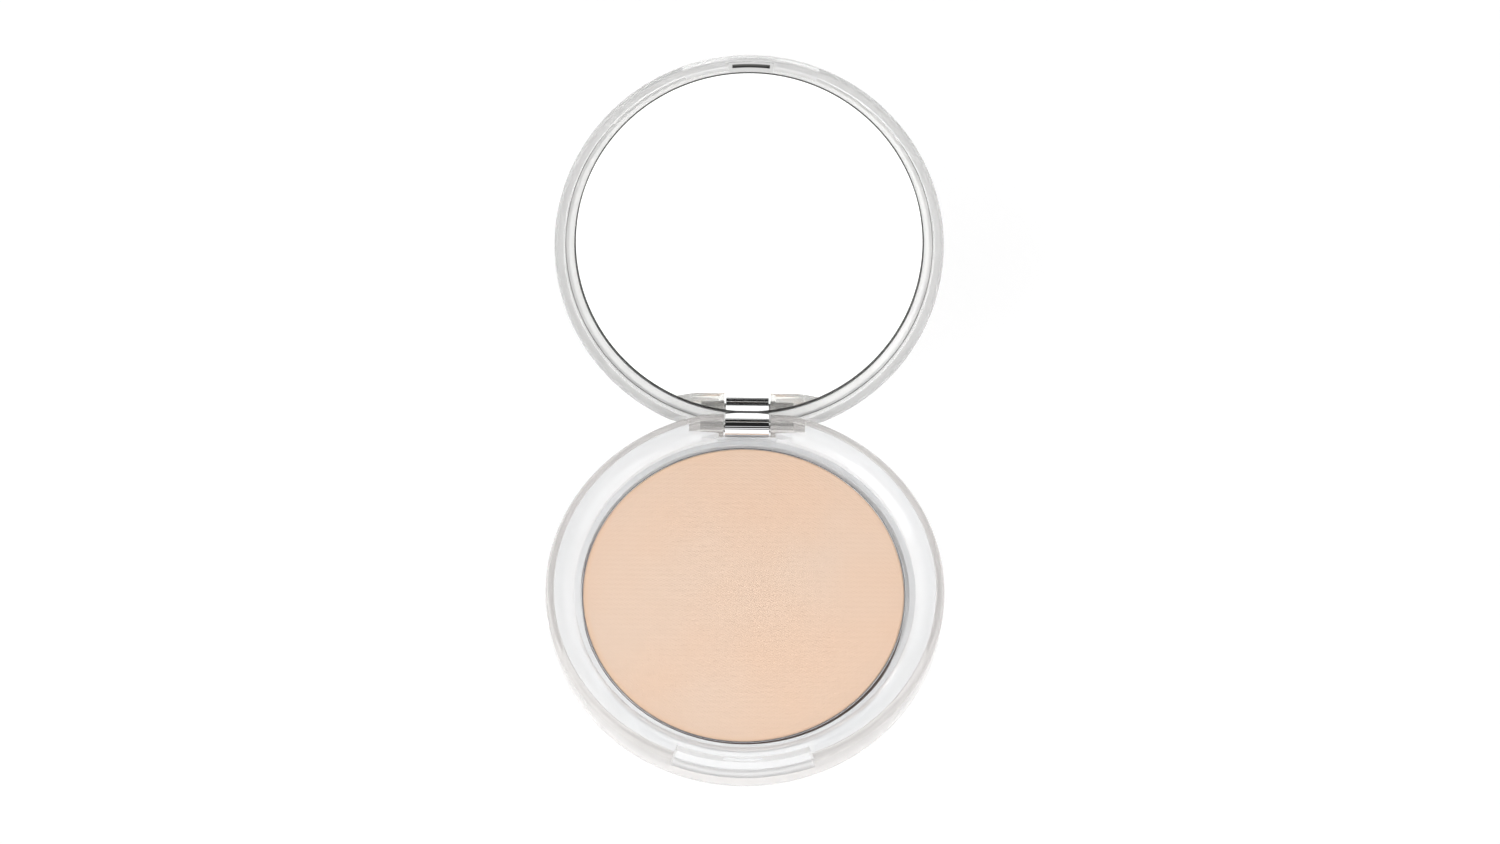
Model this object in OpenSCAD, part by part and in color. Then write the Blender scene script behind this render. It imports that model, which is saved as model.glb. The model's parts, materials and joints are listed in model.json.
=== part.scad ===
// Round clear powder compact, lid open. Millimetres, +Z up.
// Origin: centre of the base's underside. +Y points to the hinge, -Y to the latch.

/* [Case] */
// Outer radius of the base and the lid
case_r = 36.55; // [36.5:0.05:37]
// Height of the base, from the table to its rim
base_h = 10.2; // [10:0.1:10.4]
// Height of the lid, from its rim to its top
lid_h = 6.2; // [6.2:0.1:6.6]
// Thickness of the base's outer wall at the rim
base_wall = 1.55; // [1.4:0.05:1.6]

/* [Powder] */
// Radius of the pressed powder
cake_r = 29.5; // [29:0.1:29.6]
// How far the powder's surface lies below the base's rim
cake_drop = 2.9; // [2.8:0.1:3]
// Depth of the metal pan
pan_depth = 3.5; // [3:0.1:3.6]

/* [Mirror] */
// Radius of the mirror
mirror_r = 33; // [32.5:0.1:33]
// Thickness of the mirror
mirror_t = 1; // [0.9:0.1:1]

/* [Hinge and latch] */
// How far the lid is open in the rest position, in degrees
open_angle = 135; // [120:1:135]
// Distance of the hinge axis from the case's centre
hinge_y = 33.9; // [33.8:0.05:34]
// Diameter of the hinge pin
pin_d = 1.5; // [1.4:0.05:1.6]
// Length of the hinge pin
pin_len = 17.7; // [17:0.1:17.8]
// Width of the hinge block
block_w = 8.3; // [8:0.1:8.6]
// Half the angle of the lid's front tab, in degrees
tab_half = 20.1; // [19:0.1:21]

/* [Hidden] */
$fn = 96;
eps = 0.01;
over = 1;           // how far a cutter reaches past what it cuts
seam = 0.05;        // gap between two mouldings of one body
clearance = 0.3;    // gap between the base and the lid where they pass
parting = 0.2;      // gap between the two rims when the lid is closed

// Base
foot_round = 4;     // radius of the base's lower edge
rim_round = 1;      // radius of the base's upper edge
floor_t = 1.4;
base_inner_r = case_r - base_wall;
inner_round = 2.4;
label_r = 29;
label_t = 0.15;

// Powder, pan and the well they sit in
cake_z = base_h - cake_drop;
pan_wall = 0.3;
pan_lip = 0.15;     // the powder stands this far above the pan's edge
pan_r = cake_r + pan_wall;
pan_z = cake_z - pan_lip - pan_depth;
pan_gap = 0.45;
pan_shift = -0.25;  // the pan is glued a little off-centre, along X
pan_round = 0.5;
cake_play = 0.02;
cake_round = 0.3;
glue_t = 0.2;
glue_r = 26;
well_z = pan_z - glue_t;
well_floor_t = 1;
collar_r = pan_r + pan_gap;
collar_t = 1.05;
collar_out = collar_r + collar_t;
collar_rise = 0.2;  // the collar stands this far above the powder
collar_z = cake_z + collar_rise;

// The tray's shoulder is part of a ring rolled round the rim
tray_r = base_inner_r - seam;
shoulder_round = 4.5;
shoulder_t = 1.2;
shoulder_inset = 0.35;
shoulder_r = tray_r - shoulder_inset;
shoulder_z = base_h - seam - shoulder_round;
shoulder_skirt = 0.5;
shoulder_low = shoulder_z + shoulder_skirt;

// Thumb pocket at the front, where the lid's tab drops in
pocket_half = tab_half + 0.3;   // degrees
pocket_wall = 1;
pocket_wall_angle = 1.6;
pocket_r = 33.6;
pocket_z = cake_z;
catch_half = 6;
catch_out = 0.35;
catch_rise = 1.4;
catch_z = pocket_z + catch_rise;
catch_h = 0.5;

// Hinge
hinge_z = cake_z;
pin_r = pin_d / 2;
pin_seat = 0.02;
knurl_r = pin_r + 0.1;
knurl_len = 4.1;
knurl_count = 16;
knurl_groove = 0.09;
knuckle_r = 1.9;
knuckle_bore = pin_r + 0.05;
slot_half = block_w / 2 + clearance;
slot_z = 1.6;
lug_end = 10.9;
lug_bite = 0.4;      // how far the lugs run into the shell's wall
lug_margin = 0.2;    // in front of the knuckle, and below the rim
lug_front = hinge_y - knuckle_r - lug_margin;
lug_back = base_inner_r + lug_bite;
lug_depth = 2.7;
lug_low = hinge_z - lug_depth;
lug_top = base_h - lug_margin;
barrel_r = 2.75;    // the base's rear edge is turned to this radius round the hinge
relief_r = 3;       // the lid's rear is cut flat at this distance from the hinge
funnel_bite = 0.5;
funnel_front = collar_out - funnel_bite;
funnel_wide = 8.7;
funnel_narrow = 5.2;
funnel_rise = 0.45;
funnel_z = cake_z + funnel_rise;

// Lid, as it lies when closed
lid_z = base_h + parting;
lid_top = lid_z + lid_h;
lid_round = 5;
lid_rim_round = 0.8;
lid_wall = 1.9;
lid_inner_r = case_r - lid_wall;
lid_top_t = 1.3;
lid_inner_round = 3;
lid_ceiling = lid_top - lid_top_t;
inlay_t = 0.15;
tape_t = 0.2;
disc_r = 31.4;
mirror_back = lid_ceiling - seam - inlay_t - tape_t;
mirror_face = mirror_back - mirror_t;
bezel_in = mirror_r + seam;
bezel_out = lid_inner_r - seam;
bezel_rise = 1.3;

// Lid tab and latch
tab_in = 34.45;
tab_z = pocket_z + clearance;
tab_round = 0.5;
latch_half = 6.7;
latch_play = 0.1;    // degrees each side in its seat
latch_in = 34.5;
latch_out = 35.85;
latch_h = 2;
latch_nose = 34.1;
latch_nose_z = 0.1;
latch_nose_h = 0.7;
latch_slot_half = 5.6;
latch_slot_in = 34.85;
latch_slot_out = 35.5;
latch_slot_h = 1.2;

// Hinge block, measured from the hinge axis in the closed lid
block_face = 1.15;
block_back = 1.9;
block_back_h = 4.6;
block_top = mirror_face - hinge_z - 2 * seam;
block_top_back = 1.2;

// A section of a disc with rounded lower and upper edges, from the axis outwards
module disc_profile(r, z0, z1, low, high) {
    translate([0, z0 + low])
        square([r, z1 - z0 - low - high]);
    translate([0, z0])
        square([r - low, low + eps]);
    translate([0, z1 - high - eps])
        square([r - high, high + eps]);
    if (low > 0)
        rounded_corner(r - low, z0 + low, low, -1);
    if (high > 0)
        rounded_corner(r - high, z1 - high, high, 1);
}

// A quarter circle that points outwards, and up (1) or down (-1)
module rounded_corner(r, z, radius, up) {
    translate([r, z])
        intersection() {
            circle(radius);
            translate([-eps, up > 0 ? -eps : -radius])
                square(radius + eps);
        }
}

// A rectangle in the turning plane
module ring_profile(r0, r1, z0, z1) {
    translate([r0, z0])
        square([r1 - r0, z1 - z0]);
}

// Turns a section through an arc centred on the front of the case
module front_arc(half) {
    rotate([0, 0, -90 - half])
        rotate_extrude(angle = 2 * half)
            children();
}

// Extrudes a section drawn in Y and Z, centred on X
module across(w) {
    rotate([90, 0, 90])
        linear_extrude(w, center = true)
            children();
}

module hinge_rod(r, x0, x1) {
    translate([x0, hinge_y, hinge_z])
        rotate([0, 90, 0])
            cylinder(h = x1 - x0, r = r);
}

module both_sides() {
    children();
    mirror([1, 0, 0])
        children();
}

// Moves a piece from the closed lid to the open lid
module opened() {
    translate([0, hinge_y, hinge_z])
        rotate([-open_angle, 0, 0])
            translate([0, -hinge_y, -hinge_z])
                children();
}

// ---- Base ----

module base_shell() {
    color([0.93, 0.93, 0.92, 0.35])
        difference() {
            union() {
                base_bowl();
                both_sides()
                    hinge_lug();
            }
            front_arc(pocket_half)
                ring_profile(base_inner_r - over, case_r + over, pocket_z, base_h + over);
            hinge_slot();
            barrel_trim();
            hinge_rod(pin_r + pin_seat, 0, pin_len / 2 + seam);
            hinge_rod(knurl_r + pin_seat, -pin_len / 2 - seam, 0);
        }
}

module base_bowl() {
    rotate_extrude()
        difference() {
            disc_profile(case_r, 0, base_h, foot_round, rim_round);
            disc_profile(base_inner_r, floor_t, base_h + over, inner_round, 0);
        }
}

module hinge_lug() {
    intersection() {
        translate([slot_half, lug_front, lug_low])
            cube([lug_end - slot_half, lug_back - lug_front, lug_top - lug_low]);
        cylinder(h = base_h, r = lug_back);
    }
}

module hinge_slot() {
    translate([-slot_half, lug_front - over, slot_z])
        cube([2 * slot_half, case_r, base_h]);
}

// What lies outside the barrel above and behind the hinge axis
module barrel_trim() {
    across(2 * case_r)
        difference() {
            translate([hinge_y, hinge_z])
                square(barrel_r * 2);
            translate([hinge_y, hinge_z])
                circle(barrel_r);
        }
}

module base_tray() {
    color([0.95, 0.96, 0.97, 0.45])
        union() {
            difference() {
                union() {
                    rotate_extrude()
                        tray_profile();
                    front_arc(pocket_half + pocket_wall_angle)
                        pocket_profile();
                }
                front_arc(pocket_half)
                    ring_profile(pocket_r, case_r, pocket_z, base_h + over);
                hinge_opening();
                funnel();
            }
            front_arc(catch_half)
                ring_profile(pocket_r - eps, pocket_r + catch_out, catch_z, catch_z + catch_h);
        }
}

module tray_profile() {
    ring_profile(0, collar_out, well_z - well_floor_t, well_z);
    ring_profile(collar_r, collar_out, floor_t + seam, collar_z);
    intersection() {
        difference() {
            translate([shoulder_r, shoulder_z])
                circle(shoulder_round);
            translate([shoulder_r, shoulder_z])
                circle(shoulder_round - shoulder_t);
        }
        ring_profile(collar_out - eps, tray_r, shoulder_low, base_h);
    }
}

// Solid under the shoulder, from which the pocket is cut
module pocket_profile() {
    intersection() {
        translate([shoulder_r, shoulder_z])
            circle(shoulder_round - shoulder_t / 4);
        ring_profile(pocket_r - pocket_wall, tray_r - seam, pocket_z - shoulder_t, base_h);
    }
}

// Room for the shell's lugs and the hinge block
module hinge_opening() {
    translate([-lug_end - seam, lug_front - seam, floor_t])
        cube([2 * (lug_end + seam), case_r, base_h]);
}

// Shallow dip that widens from the hinge block towards the powder
module funnel() {
    translate([0, 0, funnel_z])
        linear_extrude(base_h)
            polygon([
                [-funnel_wide, funnel_front],
                [funnel_wide, funnel_front],
                [funnel_narrow, lug_front + eps],
                [-funnel_narrow, lug_front + eps]
            ]);
}

module pan_adhesive() {
    color([0.92, 0.9, 0.8])
        translate([pan_shift, 0, well_z])
            cylinder(h = glue_t, r = glue_r);
}

module powder_pan() {
    color([0.75, 0.75, 0.76])
        translate([pan_shift, 0, 0])
            rotate_extrude()
                difference() {
                    disc_profile(pan_r, pan_z, pan_z + pan_depth, pan_round, 0);
                    ring_profile(0, cake_r, pan_z + pan_wall, pan_z + pan_depth + over);
                }
}

module powder_cake() {
    color([0.94, 0.82, 0.73])
        translate([pan_shift, 0, 0])
            rotate_extrude()
                disc_profile(cake_r - cake_play, pan_z + pan_wall, cake_z, 0, cake_round);
}

// A blank card that lies on the shell's floor, below the well
module base_label() {
    color([0.97, 0.97, 0.96])
        translate([0, 0, floor_t + seam])
            cylinder(h = label_t, r = label_r);
}

module hinge_pin() {
    color([0.7, 0.7, 0.7])
        difference() {
            union() {
                hinge_rod(pin_r, -pin_len / 2, pin_len / 2);
                hinge_rod(knurl_r, -pin_len / 2, -pin_len / 2 + knurl_len);
            }
            for (i = [0 : knurl_count - 1])
                knurl_cut(i * 360 / knurl_count);
        }
}

module knurl_cut(angle) {
    translate([-pin_len / 2 - eps, hinge_y, hinge_z])
        rotate([angle, 0, 0])
            translate([0, knurl_r, 0])
                rotate([0, 90, 0])
                    cylinder(h = knurl_len + 2 * eps, r = knurl_groove);
}

// ---- Lid, drawn closed and then opened ----

module hinge_block() {
    color([0.8, 0.8, 0.82])
        opened()
            difference() {
                across(block_w) {
                    translate([hinge_y, hinge_z])
                        circle(knuckle_r);
                    block_profile(0);
                }
                hinge_rod(knuckle_bore, -block_w, block_w);
            }
}

module block_profile(grow) {
    translate([hinge_y, hinge_z])
        polygon([
            [-block_face - grow, 0],
            [block_back + grow, 0],
            [block_back + grow, block_back_h],
            [block_top_back + grow, block_top + grow],
            [-block_face - grow, block_top + grow]
        ]);
}

// The hole that the block sits in
module block_seat() {
    across(block_w + 2 * seam)
        block_profile(seam);
}

module lid_shell() {
    color([0.93, 0.93, 0.92, 0.35])
        opened()
            difference() {
                union() {
                    difference() {
                        rotate_extrude()
                            difference() {
                                disc_profile(case_r, lid_z, lid_top, lid_rim_round, lid_round);
                                disc_profile(
                                    lid_inner_r, lid_z - over, lid_ceiling, 0, lid_inner_round
                                );
                            }
                        rear_relief();
                    }
                    lid_tab();
                }
                latch_seat();
                block_seat();
            }
}

// The rear of the lid is cut flat, so that it can swing down behind the base
module rear_relief() {
    translate([0, hinge_y, hinge_z])
        rotate([open_angle - 90, 0, 0])
            translate([-case_r, -case_r, relief_r - case_r])
                cube([2 * case_r, 2 * case_r, case_r]);
}

module lid_tab() {
    front_arc(tab_half)
        difference() {
            disc_profile(case_r - seam, tab_z, lid_z + 2 * lid_rim_round, tab_round, 0);
            ring_profile(0, tab_in, 0, lid_top);
        }
}

module latch_seat() {
    front_arc(latch_half + latch_play)
        ring_profile(tab_in - over, latch_out + seam, tab_z - over, tab_z + latch_h + seam);
}

module latch_hook() {
    color([0.8, 0.8, 0.82])
        opened()
            difference() {
                front_arc(latch_half) {
                    ring_profile(latch_in, latch_out, tab_z, tab_z + latch_h);
                    ring_profile(
                        latch_nose, latch_in + eps, tab_z + latch_nose_z,
                        tab_z + latch_nose_z + latch_nose_h
                    );
                }
                front_arc(latch_slot_half)
                    ring_profile(latch_slot_in, latch_slot_out, tab_z - over, tab_z + latch_slot_h);
            }
}

module lid_disc(r, z, t) {
    opened()
        translate([0, 0, z])
            cylinder(h = t, r = r);
}

module lid_inlay() {
    color([0.85, 0.85, 0.86])
        lid_disc(disc_r, mirror_back + tape_t, inlay_t);
}

module mirror_tape() {
    color([0.9, 0.9, 0.88])
        lid_disc(disc_r, mirror_back, tape_t);
}

module mirror_plate() {
    color([0.95, 0.96, 0.96])
        lid_disc(mirror_r, mirror_face, mirror_t);
}

module mirror_bezel() {
    color([0.93, 0.93, 0.92, 0.4])
        opened()
            difference() {
                rotate_extrude()
                    intersection() {
                        polygon([
                            [bezel_in, mirror_face],
                            [bezel_out, mirror_face - bezel_rise],
                            [bezel_out, mirror_back],
                            [bezel_in, mirror_back]
                        ]);
                        disc_profile(bezel_out, lid_z, lid_ceiling - seam, 0, lid_inner_round - seam);
                    }
                block_seat();
            }
}

base_shell();
base_tray();
pan_adhesive();
powder_pan();
powder_cake();
base_label();
hinge_pin();
hinge_block();
lid_shell();
lid_inlay();
mirror_tape();
mirror_plate();  // mirror
mirror_bezel();
latch_hook();
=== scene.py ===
import json
import math

import bmesh
import bpy
import numpy as np
from mathutils import Matrix, Vector


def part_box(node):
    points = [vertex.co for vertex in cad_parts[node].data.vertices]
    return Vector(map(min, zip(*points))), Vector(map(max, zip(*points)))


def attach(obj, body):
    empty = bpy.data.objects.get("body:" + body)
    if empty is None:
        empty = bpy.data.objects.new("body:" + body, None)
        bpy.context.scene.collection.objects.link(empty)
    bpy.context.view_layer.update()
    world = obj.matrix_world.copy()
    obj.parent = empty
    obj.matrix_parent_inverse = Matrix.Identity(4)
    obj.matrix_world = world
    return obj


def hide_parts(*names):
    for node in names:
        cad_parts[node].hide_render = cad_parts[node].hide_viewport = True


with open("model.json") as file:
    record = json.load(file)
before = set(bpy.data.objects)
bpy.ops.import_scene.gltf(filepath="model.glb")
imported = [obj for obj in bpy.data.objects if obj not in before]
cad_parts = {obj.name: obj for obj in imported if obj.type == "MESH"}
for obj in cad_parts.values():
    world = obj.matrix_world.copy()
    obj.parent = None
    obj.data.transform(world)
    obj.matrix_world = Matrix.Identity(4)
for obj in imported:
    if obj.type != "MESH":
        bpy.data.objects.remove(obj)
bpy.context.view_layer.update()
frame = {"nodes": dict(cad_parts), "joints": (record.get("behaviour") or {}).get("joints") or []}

MM = 0.001
X, Y, Z = 0, 1, 2

# ---- Dimensions in millimetres: outer sizes and places from the CAD, wall thicknesses here ----


def low(node, axis):
    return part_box(node)[0][axis] / MM


def high(node, axis):
    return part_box(node)[1][axis] / MM


seam = 0.05         # gap between two mouldings of one body
clearance = 0.3     # gap between the base and the lid where they pass
parting = 0.2       # gap between the rims of the base and the closed lid
over = 1            # how far a cutter reaches past what it cuts
soft_edge = 0.12    # rounding of an edge that is only broken

# How close a face has to be to a surface to be picked for another finish
near = 0.01
near_angle = 0.001
margin = 0.1

# Base shell
case_r = high("base_shell", X)
base_h = high("base_shell", Z)
base_wall = 1.55
base_inner_r = case_r - base_wall
floor_t = 1.4
foot_round = 4
rim_round = 1
inner_round = 2.4

# Powder, pan and the well they sit in
cake_r = (high("powder_cake", X) - low("powder_cake", X)) / 2
cake_x = (high("powder_cake", X) + low("powder_cake", X)) / 2
cake_z = high("powder_cake", Z)
cake_round = 0.3
pan_r = (high("powder_pan", X) - low("powder_pan", X)) / 2
pan_z = low("powder_pan", Z)
pan_top = high("powder_pan", Z)
pan_wall = 0.3
pan_round = 0.5
pan_rim_round = 0.1
pan_gap = 0.45
glue_t = 0.2
well_z = pan_z - glue_t
well_floor_t = 1
collar_t = 1.05
collar_rise = 0.2
collar_r = pan_r + pan_gap
collar_out = collar_r + collar_t
collar_z = cake_z + collar_rise

# The tray's shoulder, a ring rolled round the rim and hollow below
tray_r = high("base_tray", X)
shoulder_round = 4.5
shoulder_t = 1.2
shoulder_inset = 0.35
shoulder_r = tray_r - shoulder_inset
shoulder_z = high("base_tray", Z) - shoulder_round
shoulder_skirt = 0.5

# Thumb pocket at the front, and the catch in it
pocket_half = math.radians(20.4)
pocket_wall = math.radians(1.6)
pocket_wall_t = 1
pocket_r = 33.6
pocket_z = cake_z
pocket_top = base_h - 0.4
catch_half = math.radians(6)
catch_out = 0.35
catch_low = pocket_z + 1.4
catch_high = pocket_z + 1.9

# Hinge
hinge = frame["joints"][0]
hinge_y = hinge["pos_m"][Y] / MM
hinge_z = hinge["pos_m"][Z] / MM
hinge_point = Vector((0, hinge_y * MM, hinge_z * MM))
open_angle = math.radians(hinge["range_deg"][1])
block_w = high("hinge_block", X) - low("hinge_block", X)
slot_half = block_w / 2 + clearance
slot_z = 1.6
lug_end = 10.9
lug_bite = 0.4      # how far the lugs run into the shell's wall
lug_front = hinge_y - 2.1
lug_low = hinge_z - 2.7
lug_top = base_h - 0.2
barrel_r = 2.75     # the base's rear edge is turned to this radius round the hinge
relief_r = 3        # the lid's rear is cut flat at this distance from the hinge

# The cut in the tray in front of the lugs, as the half width and the Y of each end
funnel_ends = [(8.7, collar_out - 0.5), (5.2, lug_front)]
funnel_z = cake_z + 0.45

# Lid, as it lies when closed
lid_h = 6.2
lid_z = base_h + parting
lid_top = lid_z + lid_h
lid_round = 5
lid_rim_round = 0.8
lid_wall = 1.9
lid_inner_r = case_r - lid_wall
lid_inner_round = 3
lid_top_t = 1.3
lid_ceiling = lid_top - lid_top_t

# Mirror and bezel
backing_t = 0.4     # tape and inlay behind the mirror
mirror_t = 1
mirror_r = high("mirror", X)
mirror_back = lid_ceiling - backing_t
mirror_face = mirror_back - mirror_t
bezel_in = mirror_r + seam
bezel_rise = 1.3

# The hinge block's seat in the lid, measured from the hinge axis
seat_front = 1.2
seat_back = 1.95
seat_back_h = 4.6
seat_top_back = 1.25
seat_top = mirror_face - hinge_z - seam

# Lid tab and latch
tab_half = math.radians(20.1)
tab_in = 34.45
tab_z = pocket_z + clearance
tab_root = lid_z + 2 * lid_rim_round
tab_round = 0.5
tab_inner_round = 0.1
latch_half = math.radians(6.7)
latch_play = math.radians(0.1)
latch_in = 34.5
latch_out = 35.85
latch_top = tab_z + 2
nose_in = 34.1
nose_root = latch_in + 0.2
nose_low = tab_z + 0.1
nose_high = tab_z + 0.8
latch_slot_half = math.radians(5.6)
latch_slot = (34.85, 35.5)
latch_slot_h = 1.2

# ---- Building blocks ----


def corner(r, z, radius=0.0, steps=8):
    """One corner of a section: its place, how far it is rounded, and how finely."""
    return (r, z, radius, steps)


def section(corners):
    """The closed outline through these corners, each rounded by its own radius."""
    outline = []
    for i, (r, z, radius, steps) in enumerate(corners):
        here = np.array([r, z])
        if radius <= 0:
            outline.append(here)
            continue
        before = np.array(corners[i - 1][:2]) - here
        after = np.array(corners[(i + 1) % len(corners)][:2]) - here
        before /= np.linalg.norm(before)
        after /= np.linalg.norm(after)
        half = math.acos(np.clip(before @ after, -1, 1)) / 2
        middle = before + after
        centre = here + middle / np.linalg.norm(middle) * radius / math.sin(half)
        start = here + before * radius / math.tan(half) - centre
        end = here + after * radius / math.tan(half) - centre
        first = math.atan2(start[1], start[0])
        turn = math.atan2(end[1], end[0]) - first
        turn = (turn + math.pi) % (2 * math.pi) - math.pi
        for k in range(steps + 1):
            a = first + turn * k / steps
            outline.append(centre + radius * np.array([math.cos(a), math.sin(a)]))
    return outline


def arc(r, z, radius, start, end, steps):
    """Points on a circle in the turning plane, from one angle to another in degrees."""
    angles = np.radians(np.linspace(start, end, steps + 1))
    return [np.array([r + radius * math.cos(a), z + radius * math.sin(a)]) for a in angles]


def rectangle(r0, r1, z0, z1):
    return [(r0, z0), (r1, z0), (r1, z1), (r0, z1)]


def add_mesh(name, points, faces):
    """A new object from points in metres."""
    mesh = bpy.data.meshes.new(name)
    mesh.from_pydata([tuple(p) for p in points], [], faces)
    mesh.update()
    obj = bpy.data.objects.new(name, mesh)
    bpy.context.scene.collection.objects.link(obj)
    return obj


def tidy_normals(obj):
    """Closes the mesh where points coincide, and turns its normals outwards."""
    bm = bmesh.new()
    bm.from_mesh(obj.data)
    bmesh.ops.remove_doubles(bm, verts=bm.verts, dist=1e-8)
    bmesh.ops.recalc_face_normals(bm, faces=bm.faces)
    bm.to_mesh(obj.data)
    bm.free()
    return obj


def turned(name, outline, segments=288, start=0.0, sweep=2 * math.pi):
    """A section turned round Z. A part turn is closed at both ends."""
    whole = sweep > 2 * math.pi - 1e-6
    columns = segments if whole else segments + 1
    points, faces, rows = [], [], []
    for r, z in outline:
        if r < 1e-6:
            rows.append([len(points)] * columns)
            points.append((0, 0, z * MM))
            continue
        rows.append(list(range(len(points), len(points) + columns)))
        for k in range(columns):
            a = start + sweep * k / segments
            points.append((r * math.cos(a) * MM, r * math.sin(a) * MM, z * MM))
    for i, row in enumerate(rows):
        after = rows[(i + 1) % len(rows)]
        for k in range(segments):
            n = (k + 1) % columns
            face = list(dict.fromkeys([row[k], row[n], after[n], after[k]]))
            if len(face) > 2:
                faces.append(face)
    if not whole:
        faces.append([row[0] for row in rows])
        faces.append([row[-1] for row in reversed(rows)])
    return tidy_normals(add_mesh(name, points, faces))


def front_arc(name, outline, half, segments=48):
    """A section turned through an arc centred on the front of the case."""
    return turned(name, outline, segments, -math.pi / 2 - half, 2 * half)


def block(name, x0, x1, y0, y1, z0, z1):
    points = [(x * MM, y * MM, z * MM) for x in (x0, x1) for y in (y0, y1) for z in (z0, z1)]
    faces = [(0, 1, 3, 2), (4, 6, 7, 5), (0, 4, 5, 1), (2, 3, 7, 6), (0, 2, 6, 4), (1, 5, 7, 3)]
    return tidy_normals(add_mesh(name, points, faces))


def prism(name, first_end, second_end):
    """The solid between two matching outlines, given in millimetres."""
    n = len(first_end)
    points = [(x * MM, y * MM, z * MM) for x, y, z in first_end + second_end]
    faces = [list(range(n)), list(range(2 * n - 1, n - 1, -1))]
    faces += [(i, i + n, (i + 1) % n + n, (i + 1) % n) for i in range(n)]
    return tidy_normals(add_mesh(name, points, faces))


def across(name, outline, half_width):
    """A section drawn in Y and Z, extruded both ways along X."""
    ends = [[(side * half_width, y, z) for y, z in outline] for side in (-1, 1)]
    return prism(name, *ends)


def upright(name, half_widths, z0, z1):
    """A symmetrical outline in X and Y, given by half widths, extruded upwards."""
    outline = [(w, y) for w, y in half_widths] + [(-w, y) for w, y in reversed(half_widths)]
    ends = [[(x, y, z) for x, y in outline] for z in (z0, z1)]
    return prism(name, *ends)


def combine(obj, operation, *tools):
    """Adds the tools to obj, or cuts them from it, and removes them."""
    for tool in tools:
        step = obj.modifiers.new("step", "BOOLEAN")
        step.operation = operation
        step.solver = "EXACT"
        step.object = tool
        result = obj.evaluated_get(bpy.context.evaluated_depsgraph_get())
        mesh = bpy.data.meshes.new_from_object(result)
        obj.modifiers.clear()
        obj.data = mesh
        mesh.name = obj.name
        bpy.data.objects.remove(tool)
    return obj


def opened(obj):
    """Turns a piece from the closed lid to the open lid, about the hinge axis."""
    pivot = Matrix.Translation(hinge_point)
    turn = Matrix.Rotation(-open_angle, 4, "X")
    obj.data.transform(pivot @ turn @ pivot.inverted())


# ---- Shader nodes ----


def connect(tree, value, socket):
    """Links an output to the socket, or sets the socket to a plain value."""
    if isinstance(value, bpy.types.NodeSocket):
        tree.links.new(value, socket)
    else:
        socket.default_value = value


def calculate(tree, operation, *values):
    made = tree.nodes.new("ShaderNodeMath")
    made.operation = operation
    for value, socket in zip(values, made.inputs):
        connect(tree, value, socket)
    return made.outputs[0]


def ramp_between(tree, value, start, end):
    """Rises softly from 0 at the start to 1 at the end."""
    made = tree.nodes.new("ShaderNodeMapRange")
    made.interpolation_type = "SMOOTHSTEP"
    connect(tree, value, made.inputs["Value"])
    made.inputs["From Min"].default_value = start
    made.inputs["From Max"].default_value = end
    return made.outputs["Result"]


def window(tree, value, start, end, soft):
    """1 while the value is between start and end, with soft edges."""
    rise = ramp_between(tree, value, start - soft, start)
    fall = ramp_between(tree, value, end + soft, end)
    return calculate(tree, "MULTIPLY", rise, fall)


def noise(tree, place, scale, detail):
    made = tree.nodes.new("ShaderNodeTexNoise")
    made.inputs["Scale"].default_value = scale
    made.inputs["Detail"].default_value = detail
    connect(tree, place, made.inputs["Vector"])
    return made


def mix_colour(tree, factor, first, second, blend="MIX"):
    made = tree.nodes.new("ShaderNodeMix")
    made.data_type = "RGBA"
    made.blend_type = blend
    connect(tree, factor, made.inputs["Factor"])
    connect(tree, first, made.inputs["A"])
    connect(tree, second, made.inputs["B"])
    return made.outputs["Result"]


# ---- Materials ----


def material(name, **values):
    """A new material, its values set straight on the shader's sockets."""
    mat = bpy.data.materials.new(name)
    mat.use_nodes = True
    shader = mat.node_tree.nodes["Principled BSDF"]
    for socket, value in values.items():
        shader.inputs[socket.replace("_", " ")].default_value = value
    return mat, mat.node_tree, shader


def clear_plastic(name, colour, roughness=0.0, milk=0.0):
    """Polished acrylic. Shadow rays go through it, since the studio's light does too."""
    mat, tree, shader = material(
        name,
        Base_Color=(*colour, 1),
        Roughness=roughness,
        IOR=1.49,
        Transmission_Weight=1 - milk,
    )
    path = tree.nodes.new("ShaderNodeLightPath")
    through = tree.nodes.new("ShaderNodeBsdfTransparent")
    mix = tree.nodes.new("ShaderNodeMixShader")
    tree.links.new(path.outputs["Is Shadow Ray"], mix.inputs["Fac"])
    tree.links.new(shader.outputs["BSDF"], mix.inputs[1])
    tree.links.new(through.outputs["BSDF"], mix.inputs[2])
    tree.links.new(mix.outputs["Shader"], tree.nodes["Material Output"].inputs["Surface"])
    return mat


def metal(name, colour, roughness):
    return material(name, Base_Color=(*colour, 1), Metallic=1.0, Roughness=roughness)[0]


def matte(name, colour, roughness=0.6):
    return material(name, Base_Color=(*colour, 1), Roughness=roughness)[0]


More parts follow.
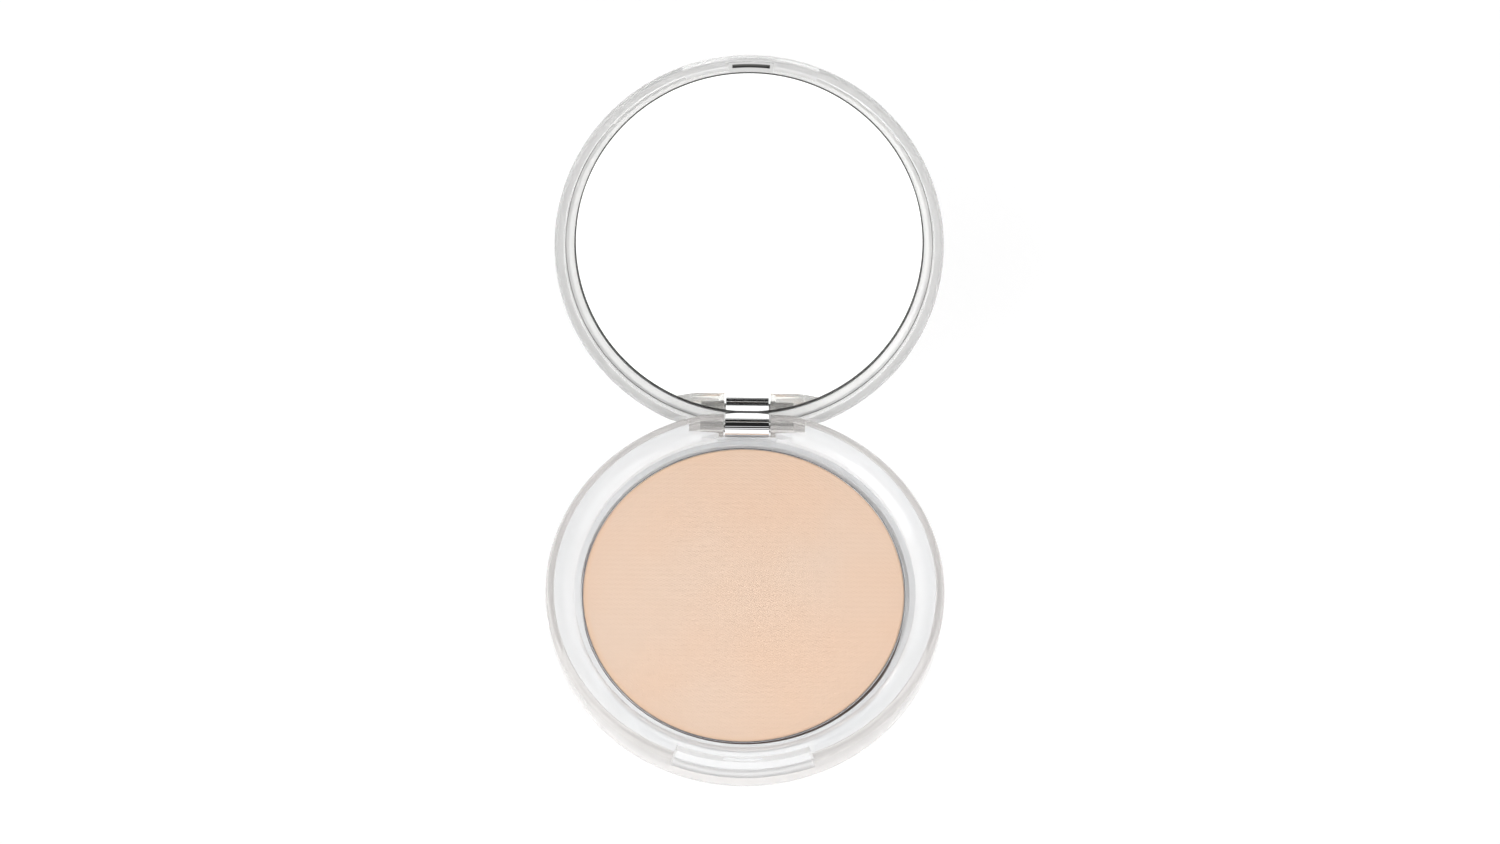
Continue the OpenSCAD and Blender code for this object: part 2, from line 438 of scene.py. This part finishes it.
def powder_material():
    """Pressed powder: a soft beige with slow warm patches, fine grain, and a warmer brown at the
    edge that is a painted shade.
    """
    mat, tree, shader = material("pressed powder", Roughness=0.9, Specular_IOR_Level=0.2)
    place = tree.nodes.new("ShaderNodeTexCoord").outputs["Object"]
    ramp = tree.nodes.new("ShaderNodeValToRGB")
    cool, warm = ramp.color_ramp.elements
    cool.position = 0.35
    cool.color = (0.815, 0.618, 0.487, 1)
    warm.position = 0.7
    warm.color = (0.832, 0.596, 0.448, 1)
    connect(tree, noise(tree, place, 45, 2).outputs["Fac"], ramp.inputs["Fac"])
    grain = noise(tree, place, 6000, 3).outputs["Color"]
    beige = mix_colour(tree, 0.05, ramp.outputs["Color"], grain, "OVERLAY")
    distance = tree.nodes.new("ShaderNodeVectorMath")
    distance.operation = "LENGTH"
    connect(tree, place, distance.inputs[0])
    # painted shade: a warmer brown ring at the cake's edge, standing in for the shade where the
    # powder meets the pan
    shade_start = (cake_r - 0.2) * MM
    shade_end = (cake_r + 1.2) * MM
    edge = ramp_between(tree, distance.outputs["Value"], shade_start, shade_end)
    edge_shaded_colour = mix_colour(tree, edge, beige, (0.82, 0.58, 0.42, 1))
    connect(tree, edge_shaded_colour, shader.inputs["Base Color"])
    return mat


shell_plastic = clear_plastic("shell plastic", (0.885, 0.868, 0.857), 0.03, 0.4)
lid_plastic = clear_plastic("lid plastic", (0.93, 0.93, 0.925), 0.0, 0.3)
tray_plastic = clear_plastic("tray plastic", (0.96, 0.97, 0.98), 0.03, 0.35)
# painted shade: a greyer, milkier copy of the clear plastic for faces seen nearly edge-on
edge_plastic_painted_shade = clear_plastic("plastic edges painted shade", (0.8, 0.79, 0.78), 0.03, 0.5)
# painted light: a lighter, clearer copy of the shell plastic for the lugs, which are part of the
# same shell
lug_plastic_painted_light = clear_plastic("lug plastic painted light", (1.0, 0.985, 0.97), 0.0, 0.2)
mirror_glass = clear_plastic("mirror glass", (0.99, 1.0, 0.99))
chrome = metal("chrome", (0.86, 0.86, 0.87), 0.03)
latch_chrome = metal("latch chrome", (0.52, 0.52, 0.515), 0.15)
# painted shade: a dark metal for the faces inside the latch's slot
latch_slot_painted_shade = metal("latch slot painted shade", (0.16, 0.16, 0.155), 0.35)
steel = metal("pin steel", (0.55, 0.54, 0.53), 0.2)
pan_metal = metal("pan metal", (0.75, 0.75, 0.76), 0.25)
# painted shade: a dark brown finish for the pan's side, standing in for the shade in the gap round
# the pan
pan_side_painted_shade = metal("pan side painted shade", (0.16, 0.115, 0.1), 0.5)
silvering = metal("mirror silvering", (0.97, 0.975, 0.97), 0.0)
inlay_foil = metal("inlay foil", (0.86, 0.86, 0.87), 0.3)
# painted shade: near-black finishes for the mirror's edge and chamfer, standing in for the dark line
# round the mirror
mirror_edge_painted_shade = matte("mirror edge painted shade", (0.012, 0.014, 0.014), 0.4)
mirror_chamfer_painted_shade = matte("mirror chamfer painted shade", (0.07, 0.07, 0.068), 0.4)
# painted shade: a dark matt strip where the bezel meets the lid's wall
seam_shadow = matte("bezel seam shadow", (0.09, 0.09, 0.085), 0.7)
glue = matte("glue", (0.85, 0.83, 0.75))
card = matte("label card", (0.93, 0.93, 0.92))
tape = matte("foam tape", (0.85, 0.85, 0.84))
powder = powder_material()


def finish_mesh(obj, sharp=35):
    """Smooth shading, with edges left crisp where the faces meet at more than this angle."""
    obj.data.shade_smooth()
    obj.data.set_sharp_from_angle(angle=math.radians(sharp))


def dress(obj, mat, body, node):
    """Gives a new piece its material and body, and hides the CAD node it stands for."""
    obj.data.materials.clear()
    obj.data.materials.append(mat)
    finish_mesh(obj)
    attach(obj, body)
    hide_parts(node)


def paint(obj, mat, chosen):
    """Gives another finish to the faces whose centre, in millimetres, and normal are chosen."""
    index = len(obj.data.materials)
    obj.data.materials.append(mat)
    for face in obj.data.polygons:
        if chosen(face.center / MM, face.normal):
            face.material_index = index


def repaint(node, mat, bevel=0.0):
    """Gives a CAD node a better material, smooth shading and soft edges."""
    obj = frame["nodes"][node]
    obj.data.materials.clear()
    obj.data.materials.append(mat)
    finish_mesh(obj, 30)
    if bevel:
        edge = obj.modifiers.new("soft edges", "BEVEL")
        edge.width = bevel * MM
        edge.segments = 3
        edge.limit_method = "ANGLE"
        edge.angle_limit = math.radians(40)
        edge.harden_normals = True


def radius_of(place):
    return math.hypot(place.x, place.y)


def from_front(place):
    """How far round the case from its front, in radians."""
    return abs(math.atan2(place.x, -place.y))


# ---- Base ----


def pocket_cutter():
    outline = rectangle(pocket_r, case_r + over, pocket_z, base_h + over)
    return front_arc("pocket cutter", outline, pocket_half)


def hinge_lug(side):
    x0, x1 = sorted((side * (slot_half - over), side * lug_end))
    lug = block("lug", x0, x1, lug_front, case_r, lug_low, lug_top)
    limit = turned("limit", rectangle(0, base_inner_r + lug_bite, 0, base_h))
    return combine(lug, "INTERSECT", limit)


def barrel_cutter():
    """What lies outside the hinge barrel, above and behind the hinge axis."""
    far_y, far_z = hinge_y + 2 * barrel_r, hinge_z + 2 * barrel_r
    outline = arc(hinge_y, hinge_z, barrel_r, 0, 90, 24)
    outline += [(hinge_y, far_z), (far_y, far_z), (far_y, hinge_z)]
    return across("barrel cutter", outline, case_r)


def make_base_shell():
    """A clear bowl with the two hinge lugs, open at the front pocket and between the lugs."""
    shell = turned(
        "clear_base_shell",
        section([
            corner(0, 0),
            corner(case_r, 0, foot_round, 20),
            corner(case_r, base_h, rim_round, 10),
            corner(base_inner_r, base_h, soft_edge, 4),
            corner(base_inner_r, floor_t, inner_round, 14),
            corner(0, floor_t),
        ]),
    )
    combine(shell, "UNION", hinge_lug(-1), hinge_lug(1))
    slot = block(
        "slot", -slot_half, slot_half, lug_front - over, case_r + over, slot_z, base_h + over
    )
    combine(shell, "DIFFERENCE", pocket_cutter(), slot, barrel_cutter())
    dress(shell, shell_plastic, "base", "base_shell")

    def on_lug(place, normal):
        beside = abs(place.x) < lug_end + margin
        return beside and place.y > lug_front - margin and place.z > lug_low - margin

    def pocket_floor_painted_light(place, normal):
        return place.y < 0 and abs(place.z - pocket_z) < near and normal.z > 0.9

    # painted light on the lugs' faces
    paint(shell, lug_plastic_painted_light, on_lug)
    # painted light: the shell's pocket floor gets the lighter tray plastic
    paint(shell, tray_plastic, pocket_floor_painted_light)


def tray_outline():
    """The well, the collar round the pan and the hollow shoulder, as one section."""
    under = shoulder_round - shoulder_t
    under_start = 172
    under_end = math.degrees(math.acos(shoulder_inset / under))
    top_end = math.degrees(math.acos(shoulder_inset / shoulder_round))
    top_start = math.degrees(math.acos((collar_out - shoulder_r) / shoulder_round))
    outline = section([
        corner(0, well_z - well_floor_t),
        corner(collar_r, well_z - well_floor_t),
        corner(collar_r, floor_t + seam),
        corner(collar_out, floor_t + seam),
        corner(collar_out, shoulder_z + shoulder_skirt),
    ])
    outline += arc(shoulder_r, shoulder_z, under, under_start, under_end, 24)
    outline += arc(shoulder_r, shoulder_z, shoulder_round, top_end, top_start, 24)
    outline += section([
        corner(collar_out, collar_z),
        corner(collar_r, collar_z),
        corner(collar_r, well_z),
        corner(0, well_z),
    ])
    return outline


def pocket_block():
    """Solid plastic just under the shoulder's surface, from which the pocket is cut."""
    sunk = 0.3
    outline = arc(shoulder_r, shoulder_z, shoulder_round - sunk, 90, 118, 10)
    outline += [
        (pocket_r - pocket_wall_t, pocket_z - shoulder_t),
        (tray_r - seam, pocket_z - shoulder_t),
        (tray_r - seam, pocket_top),
    ]
    return front_arc("pocket block", outline, pocket_half + pocket_wall)


def make_base_tray():
    """The clear insert that holds the pan, with the front pocket and the latch's catch."""
    tray = turned("clear_base_tray", tray_outline())
    combine(tray, "UNION", pocket_block())
    side = lug_end + seam
    opening = block(
        "opening", -side, side, lug_front - seam, case_r, floor_t - over, base_h + over
    )
    funnel = upright("funnel", funnel_ends, funnel_z, base_h + over)
    combine(tray, "DIFFERENCE", pocket_cutter(), opening, funnel)
    catch = rectangle(pocket_r - 2 * seam, pocket_r + catch_out, catch_low, catch_high)
    combine(tray, "UNION", front_arc("catch", catch, catch_half))
    dress(tray, tray_plastic, "base", "base_tray")

    def pocket_side(place, normal):
        in_pocket = place.y < 0 and place.z > pocket_z and radius_of(place) > pocket_r - near
        return in_pocket and abs(normal.z) < 0.1

    # painted shade on the pocket's side walls
    paint(tray, edge_plastic_painted_shade, pocket_side)


def weave(x, y):
    """The print of the cloth that the powder was pressed through, from -1 to 1."""
    pitch = 0.5
    sway = 0.18
    wave = math.pi * x / pitch
    threads = 2 * math.pi * (y + sway * np.sin(wave)) / pitch
    return 0.6 * np.sin(threads) + 0.4 * np.sin(wave) * np.cos(threads / 2)


def make_powder():
    """The cake, its top a fine grid raised and lowered by the weave, flat at the edge."""
    weave_height = 0.04
    flat_edge = 0.8
    rings, columns = 330, 900
    edge_r = cake_r - cake_round
    angles = np.linspace(0, 2 * math.pi, columns, endpoint=False)
    points = [(0, 0, cake_z)]
    for i in range(1, rings + 1):
        r = edge_r * i / rings
        x, y = r * np.cos(angles), r * np.sin(angles)
        fade = min((edge_r - r) / flat_edge, 1)
        z = cake_z - weave_height + weave_height * weave(x, y) * fade
        points += list(zip(x, y, z))
    top = cake_z - weave_height - cake_round
    side = arc(edge_r, top, cake_round, 75, 0, 5) + [np.array([cake_r, low("powder_cake", Z)])]
    for r, z in side:
        points += [(r * math.cos(a), r * math.sin(a), z) for a in angles]
    points.append((0, 0, low("powder_cake", Z)))
    faces = [(0, 1 + k, 1 + (k + 1) % columns) for k in range(columns)]
    for i in range(rings + len(side) - 1):
        first = 1 + i * columns
        for k in range(columns):
            n = (k + 1) % columns
            faces.append((first + k, first + columns + k, first + columns + n, first + n))
    last = len(points) - 1 - columns
    faces += [(last + (k + 1) % columns, last + k, len(points) - 1) for k in range(columns)]
    points = [((x + cake_x) * MM, y * MM, z * MM) for x, y, z in points]
    cake = add_mesh("pressed_powder", points, faces)
    dress(cake, powder, "base", "powder_cake")


def make_pan():
    """A pressed metal pan. Its rim is bright, and its side is painted dark brown, a painted shade
    for the dark gap round the pan.
    """
    pan = turned(
        "powder_pan_metal",
        section([
            corner(0, pan_z),
            corner(pan_r, pan_z, pan_round, 8),
            corner(pan_r, pan_top, pan_rim_round, 3),
            corner(pan_r - pan_wall, pan_top, pan_rim_round, 3),
            corner(pan_r - pan_wall, pan_z + pan_wall),
            corner(0, pan_z + pan_wall),
        ]),
    )
    dress(pan, pan_metal, "base", "powder_pan")
    unshaded_rim = 0.15

    def on_painted_shade_side(place, normal):
        return radius_of(place) > pan_r - 2 * near and place.z < pan_top - unshaded_rim

    # painted shade on the pan's side below the rim
    paint(pan, pan_side_painted_shade, on_painted_shade_side)
    pan.data.transform(Matrix.Translation(Vector((cake_x * MM, 0, 0))))


# ---- Lid: each piece is made as in the closed lid, then opened ----


def block_seat():
    """The hole in the lid that the hinge block sits in."""
    outline = [
        (-seat_front, 0),
        (seat_back, 0),
        (seat_back, seat_back_h),
        (seat_top_back, seat_top),
        (-seat_front, seat_top),
    ]
    outline = [(hinge_y + y, hinge_z + z) for y, z in outline]
    return across("block seat", outline, block_w / 2 + seam)


def rear_relief():
    """What the lid's rear loses, so that it can swing down behind the base."""
    relief = block("relief", -case_r, case_r, -case_r, case_r, relief_r - case_r, relief_r)
    tilt = Matrix.Rotation(open_angle - math.pi / 2, 4, "X")
    relief.data.transform(Matrix.Translation(hinge_point) @ tilt)
    return relief


def lid_tab():
    outline = section([
        corner(tab_in, tab_z, tab_inner_round, 3),
        corner(case_r - seam, tab_z, tab_round, 6),
        corner(case_r - seam, tab_root),
        corner(tab_in, tab_root),
    ])
    return front_arc("tab", outline, tab_half)


def latch_seat():
    outline = rectangle(tab_in - over, latch_out + seam, tab_z - over, latch_top + seam)
    return front_arc("latch seat", outline, latch_half + latch_play)


def make_lid_shell():
    """A clear cap with a flat cut at its rear and the tab at its front."""
    shell = turned(
        "clear_lid_shell",
        section([
            corner(lid_inner_r, lid_z, soft_edge, 4),
            corner(case_r, lid_z, lid_rim_round, 10),
            corner(case_r, lid_top, lid_round, 24),
            corner(0, lid_top),
            corner(0, lid_ceiling),
            corner(lid_inner_r, lid_ceiling, lid_inner_round, 18),
        ]),
    )
    combine(shell, "DIFFERENCE", rear_relief())
    combine(shell, "UNION", lid_tab())
    combine(shell, "DIFFERENCE", latch_seat(), block_seat())
    dress(shell, lid_plastic, "lid", "lid_shell")

    def tab_end(place, normal):
        at_end = abs(from_front(place) - tab_half) < near_angle
        return at_end and place.z < tab_root and abs(normal.x) > 0.9

    # painted shade on the tab's end faces
    paint(shell, edge_plastic_painted_shade, tab_end)
    opened(shell)


def make_bezel():
    """The sloping ring round the mirror, with a fine painted seam shadow, a dark line where it meets
    the lid's wall.
    """
    seam_line = 0.18
    centre_r = lid_inner_r - lid_inner_round
    centre_z = lid_ceiling - lid_inner_round
    radius = lid_inner_round - seam
    foot = mirror_face - bezel_rise
    start = math.degrees(math.asin((foot - centre_z) / radius))
    end = math.degrees(math.asin((mirror_back - centre_z) / radius))
    rim = arc(centre_r, centre_z, radius, start, end, 16)
    inner = np.array([bezel_in, mirror_face])
    slope = (inner - rim[0]) / np.linalg.norm(inner - rim[0])
    outline = [inner, rim[0] + slope * seam_line] + rim + [np.array([bezel_in, mirror_back])]
    bezel = turned("clear_mirror_bezel", outline)
    combine(bezel, "DIFFERENCE", block_seat())
    dress(bezel, lid_plastic, "lid", "mirror_bezel")

    def on_seam(place, normal):
        return normal.z < -0.3 and radius_of(place) > rim[0][0] - seam_line

    # painted shade on the slope's outer end
    paint(bezel, seam_shadow, on_seam)
    opened(bezel)


def make_latch():
    """The chromed hook in the lid's tab. Its slot's faces are painted dark, a painted shade for the
    shadow inside the slot.
    """
    body = front_arc(
        "latch_hook_chrome", rectangle(latch_in, latch_out, tab_z, latch_top), latch_half
    )
    nose = rectangle(nose_in, nose_root, nose_low, nose_high)
    combine(body, "UNION", front_arc("nose", nose, latch_half - near_angle))
    slot = rectangle(*latch_slot, tab_z - over, tab_z + latch_slot_h)
    combine(body, "DIFFERENCE", front_arc("slot", slot, latch_slot_half))
    dress(body, latch_chrome, "lid", "latch_hook")

    def in_shaded_slot(place, normal):
        between = latch_slot[0] - near < radius_of(place) < latch_slot[1] + near
        deep = tab_z + near < place.z < latch_top - margin
        return between and deep and from_front(place) < latch_slot_half + near_angle

    # painted shade: the faces inside the slot get the dark metal
    paint(body, latch_slot_painted_shade, in_shaded_slot)
    opened(body)


def make_mirror():
    """Glass in front, silver behind and a near-black edge, as finishes of one plate. The edge and
    its chamfer are a painted shade for the dark line round the mirror.
    """
    chamfer = 0.22
    skin = 0.02     # keeps the silvering clear of the tape
    plate = turned(
        "mirror_plate",
        section([
            corner(0, mirror_face),
            corner(mirror_r - chamfer, mirror_face),
            corner(mirror_r, mirror_face + chamfer),
            corner(mirror_r, mirror_back - skin),
            corner(0, mirror_back - skin),
        ]),
        360,
    )
    dress(plate, mirror_glass, "lid", "mirror")
    paint(plate, silvering, lambda place, normal: normal.z > 0.9)
    # painted shade: the edge and the chamfer are painted near black, the chamfer a little lighter
    paint(plate, mirror_edge_painted_shade, lambda place, normal: -0.1 < normal.z <= 0.9)
    paint(plate, mirror_chamfer_painted_shade, lambda place, normal: -0.9 < normal.z <= -0.1)
    opened(plate)


make_base_shell()
make_base_tray()
make_pan()
make_mirror()
make_latch()
make_powder()
make_lid_shell()
make_bezel()

repaint("pan_adhesive", glue)
repaint("base_label", card)
repaint("hinge_pin", steel)
repaint("hinge_block", chrome, soft_edge)
repaint("lid_inlay", inlay_foil)
repaint("mirror_tape", tape)

# ---- Studio ----

FLOOR_GLOW = 0.82
ROOM_LIGHT = 1.34
CEILING_LIGHT = 0.02
CEILING_HALF = 0.45
CEILING_SOFT = 0.1
BAND_SOFT = 2
CEILING_BANDS = [(50, 57), (66, 81), (87, 140)]     # degrees up from the front, over the top
LAMP_AWAY = 0.9
LAMP_SIZE = 0.6


def direction(azimuth, elevation):
    """Unit vector from the compact; azimuth 0 is the front and 90 the right."""
    a, e = math.radians(azimuth), math.radians(elevation)
    return Vector((math.sin(a) * math.cos(e), -math.cos(a) * math.cos(e), math.sin(e)))


def studio_floor():
    """A light table: pale, matt, and lit a little from below."""
    half, drop = 3, -0.0002
    corners = [(x, y, drop) for x, y in ((-half, -half), (half, -half), (half, half), (-half, half))]
    table = add_mesh("studio_floor", corners, [(0, 1, 2, 3)])
    light_table = material(
        "light table",
        Base_Color=(0.2, 0.2, 0.2, 1),
        Roughness=0.9,
        Specular_IOR_Level=0.1,
        Emission_Color=(1, 1, 1, 1),
        Emission_Strength=FLOOR_GLOW,
    )[0]
    table.data.materials.append(light_table)
    return table


def softbox(name, azimuth, elevation, power):
    """A square lamp that faces the compact from this direction."""
    lamp = bpy.data.lights.new(name, "AREA")
    lamp.shape = "SQUARE"
    lamp.size = LAMP_SIZE
    lamp.energy = power
    obj = bpy.data.objects.new(name, lamp)
    bpy.context.scene.collection.objects.link(obj)
    away = direction(azimuth, elevation)
    obj.location = hinge_point + away * LAMP_AWAY
    obj.rotation_euler = (-away).to_track_quat("-Z", "Y").to_euler()


def white_room():
    """A white room whose ceiling has dark bands, which the chrome picks up."""
    world = bpy.data.worlds.new("white room")
    bpy.context.scene.world = world
    world.use_nodes = True
    tree = world.node_tree
    split = tree.nodes.new("ShaderNodeSeparateXYZ")
    connect(tree, tree.nodes.new("ShaderNodeTexCoord").outputs["Generated"], split.inputs[0])
    x, y, z = split.outputs
    forward = calculate(tree, "MULTIPLY", y, -1.0)
    degrees = calculate(tree, "DEGREES", calculate(tree, "ARCTAN2", z, forward))
    middle = window(tree, x, -CEILING_HALF, CEILING_HALF, CEILING_SOFT)
    dark = 0.0
    for start, end in CEILING_BANDS:
        band = calculate(tree, "MULTIPLY", window(tree, degrees, start, end, BAND_SOFT), middle)
        dark = calculate(tree, "ADD", dark, band)
    lit = calculate(tree, "MULTIPLY", calculate(tree, "SUBTRACT", 1.0, dark), ROOM_LIGHT)
    level = calculate(tree, "MAXIMUM", lit, CEILING_LIGHT)
    background = tree.nodes["Background"]
    background.inputs["Color"].default_value = (1, 1, 1, 1)
    connect(tree, level, background.inputs["Strength"])


floor = studio_floor()
white_room()
softbox("key_left", -75, 40, 2.3)
softbox("fill_right", 75, 40, 0.9)

# ---- Camera ----

CAMERA_ELEVATION = 61.47
CAMERA_DISTANCE = 0.5
CAMERA_LENS = 63.15
CAMERA_ROLL = 0.67
AIM_UP = 1.24
AIM_RIGHT = 0.55

back = direction(0, CAMERA_ELEVATION)
right = direction(90, 0)
up = back.cross(right)
camera_data = bpy.data.cameras.new("camera")
camera_data.sensor_width = 36
camera_data.lens = CAMERA_LENS
camera_data.clip_start = 0.01
camera = bpy.data.objects.new("camera", camera_data)
bpy.context.scene.collection.objects.link(camera)
camera.location = hinge_point + back * CAMERA_DISTANCE + up * AIM_UP * MM + right * AIM_RIGHT * MM
level = Matrix((right, up, back)).transposed()
roll = Matrix.Rotation(math.radians(CAMERA_ROLL), 3, "Z")
camera.rotation_euler = (level @ roll).to_euler()
bpy.context.scene.camera = camera

scene = bpy.context.scene
scene.view_settings.view_transform = "Standard"
scene.cycles.max_bounces = 24
scene.cycles.transmission_bounces = 20
scene.cycles.transparent_max_bounces = 24
scene.cycles.glossy_bounces = 8
